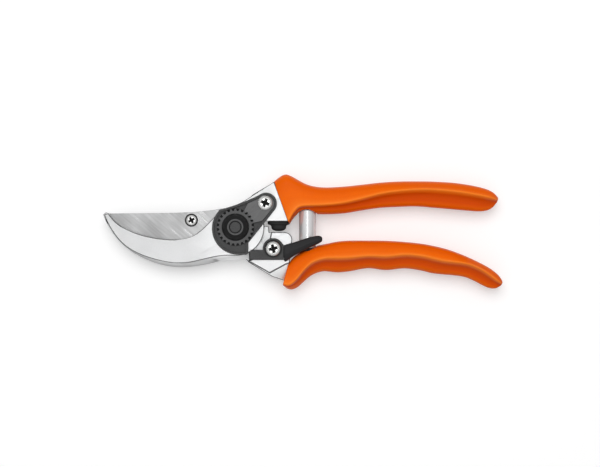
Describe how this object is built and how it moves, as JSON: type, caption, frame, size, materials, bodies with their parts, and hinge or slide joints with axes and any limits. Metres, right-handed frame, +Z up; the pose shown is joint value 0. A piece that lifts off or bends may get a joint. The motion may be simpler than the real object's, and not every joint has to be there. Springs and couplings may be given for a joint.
{
  "type": "pruning shears",
  "caption": "One-hand bypass pruning shears with a curved blade, a hook, orange sleeved handles, a volute spring and a thumb catch, locked shut.",
  "frame": {"origin": "on the pivot axis, on the surface the shears lie on, at the back face of the pivot bolt's head", "axes": "+Z up along the pivot axis, towards the nut; +X along the handles, away from the jaws; +Y towards the palm handle"},
  "size_m": [0.2158, 0.0624, 0.0196],
  "materials": {
    "forged_aluminium": "satin, blasted and lightly polished",
    "orange_grip": "smooth dipped vinyl sleeve, satin",
    "ground_steel": "diagonal ground finish",
    "zinc_steel": "bright zinc plated",
    "dark_steel": "dark oxide coating, satin",
    "bronze": "sintered bronze",
    "black_rubber": "matt",
    "chromed_spring": "bright spring strip",
    "black_plastic": "moulded, fine grain"
  },
  "bodies": {
    "upper": {"upper_handle_forging": "forged_aluminium", "upper_grip": "orange_grip", "counter_blade": "ground_steel", "counter_blade_screws": "zinc_steel", "lock_plate": "dark_steel", "tooth_segment": "dark_steel", "segment_screw": "zinc_steel", "pivot_bolt": "dark_steel", "toothed_nut": "dark_steel", "bumper": "black_rubber", "upper_spring_seat": "zinc_steel", "volute_spring": "chromed_spring"},
    "lower": {"lower_handle_forging": "forged_aluminium", "lower_grip": "orange_grip", "cutting_blade": "ground_steel", "blade_screw": "zinc_steel", "pivot_bush": "bronze", "rear_washer": "zinc_steel", "catch_screw": "zinc_steel", "catch_washer": "zinc_steel", "lower_spring_seat": "zinc_steel"},
    "catch": {"catch_plate": "dark_steel", "catch_lever": "black_plastic"}
  },
  "joints": [
    {"name": "handles_open", "type": "hinge", "parent": "upper", "child": "lower", "pos_m": [0, 0, 0.009], "axis": [0, 0, -1], "range_deg": [0, 33], "deforming": ["volute_spring"]},
    {"name": "catch_swing", "type": "hinge", "parent": "lower", "child": "catch", "pos_m": [0.0202, -0.0115, 0.016], "axis": [0, 0, 1], "range_deg": [0, 34]}
  ],
  "couplings": [
    {"joint": "catch_swing", "follows": "handles_open", "ratio": 1}
  ]
}
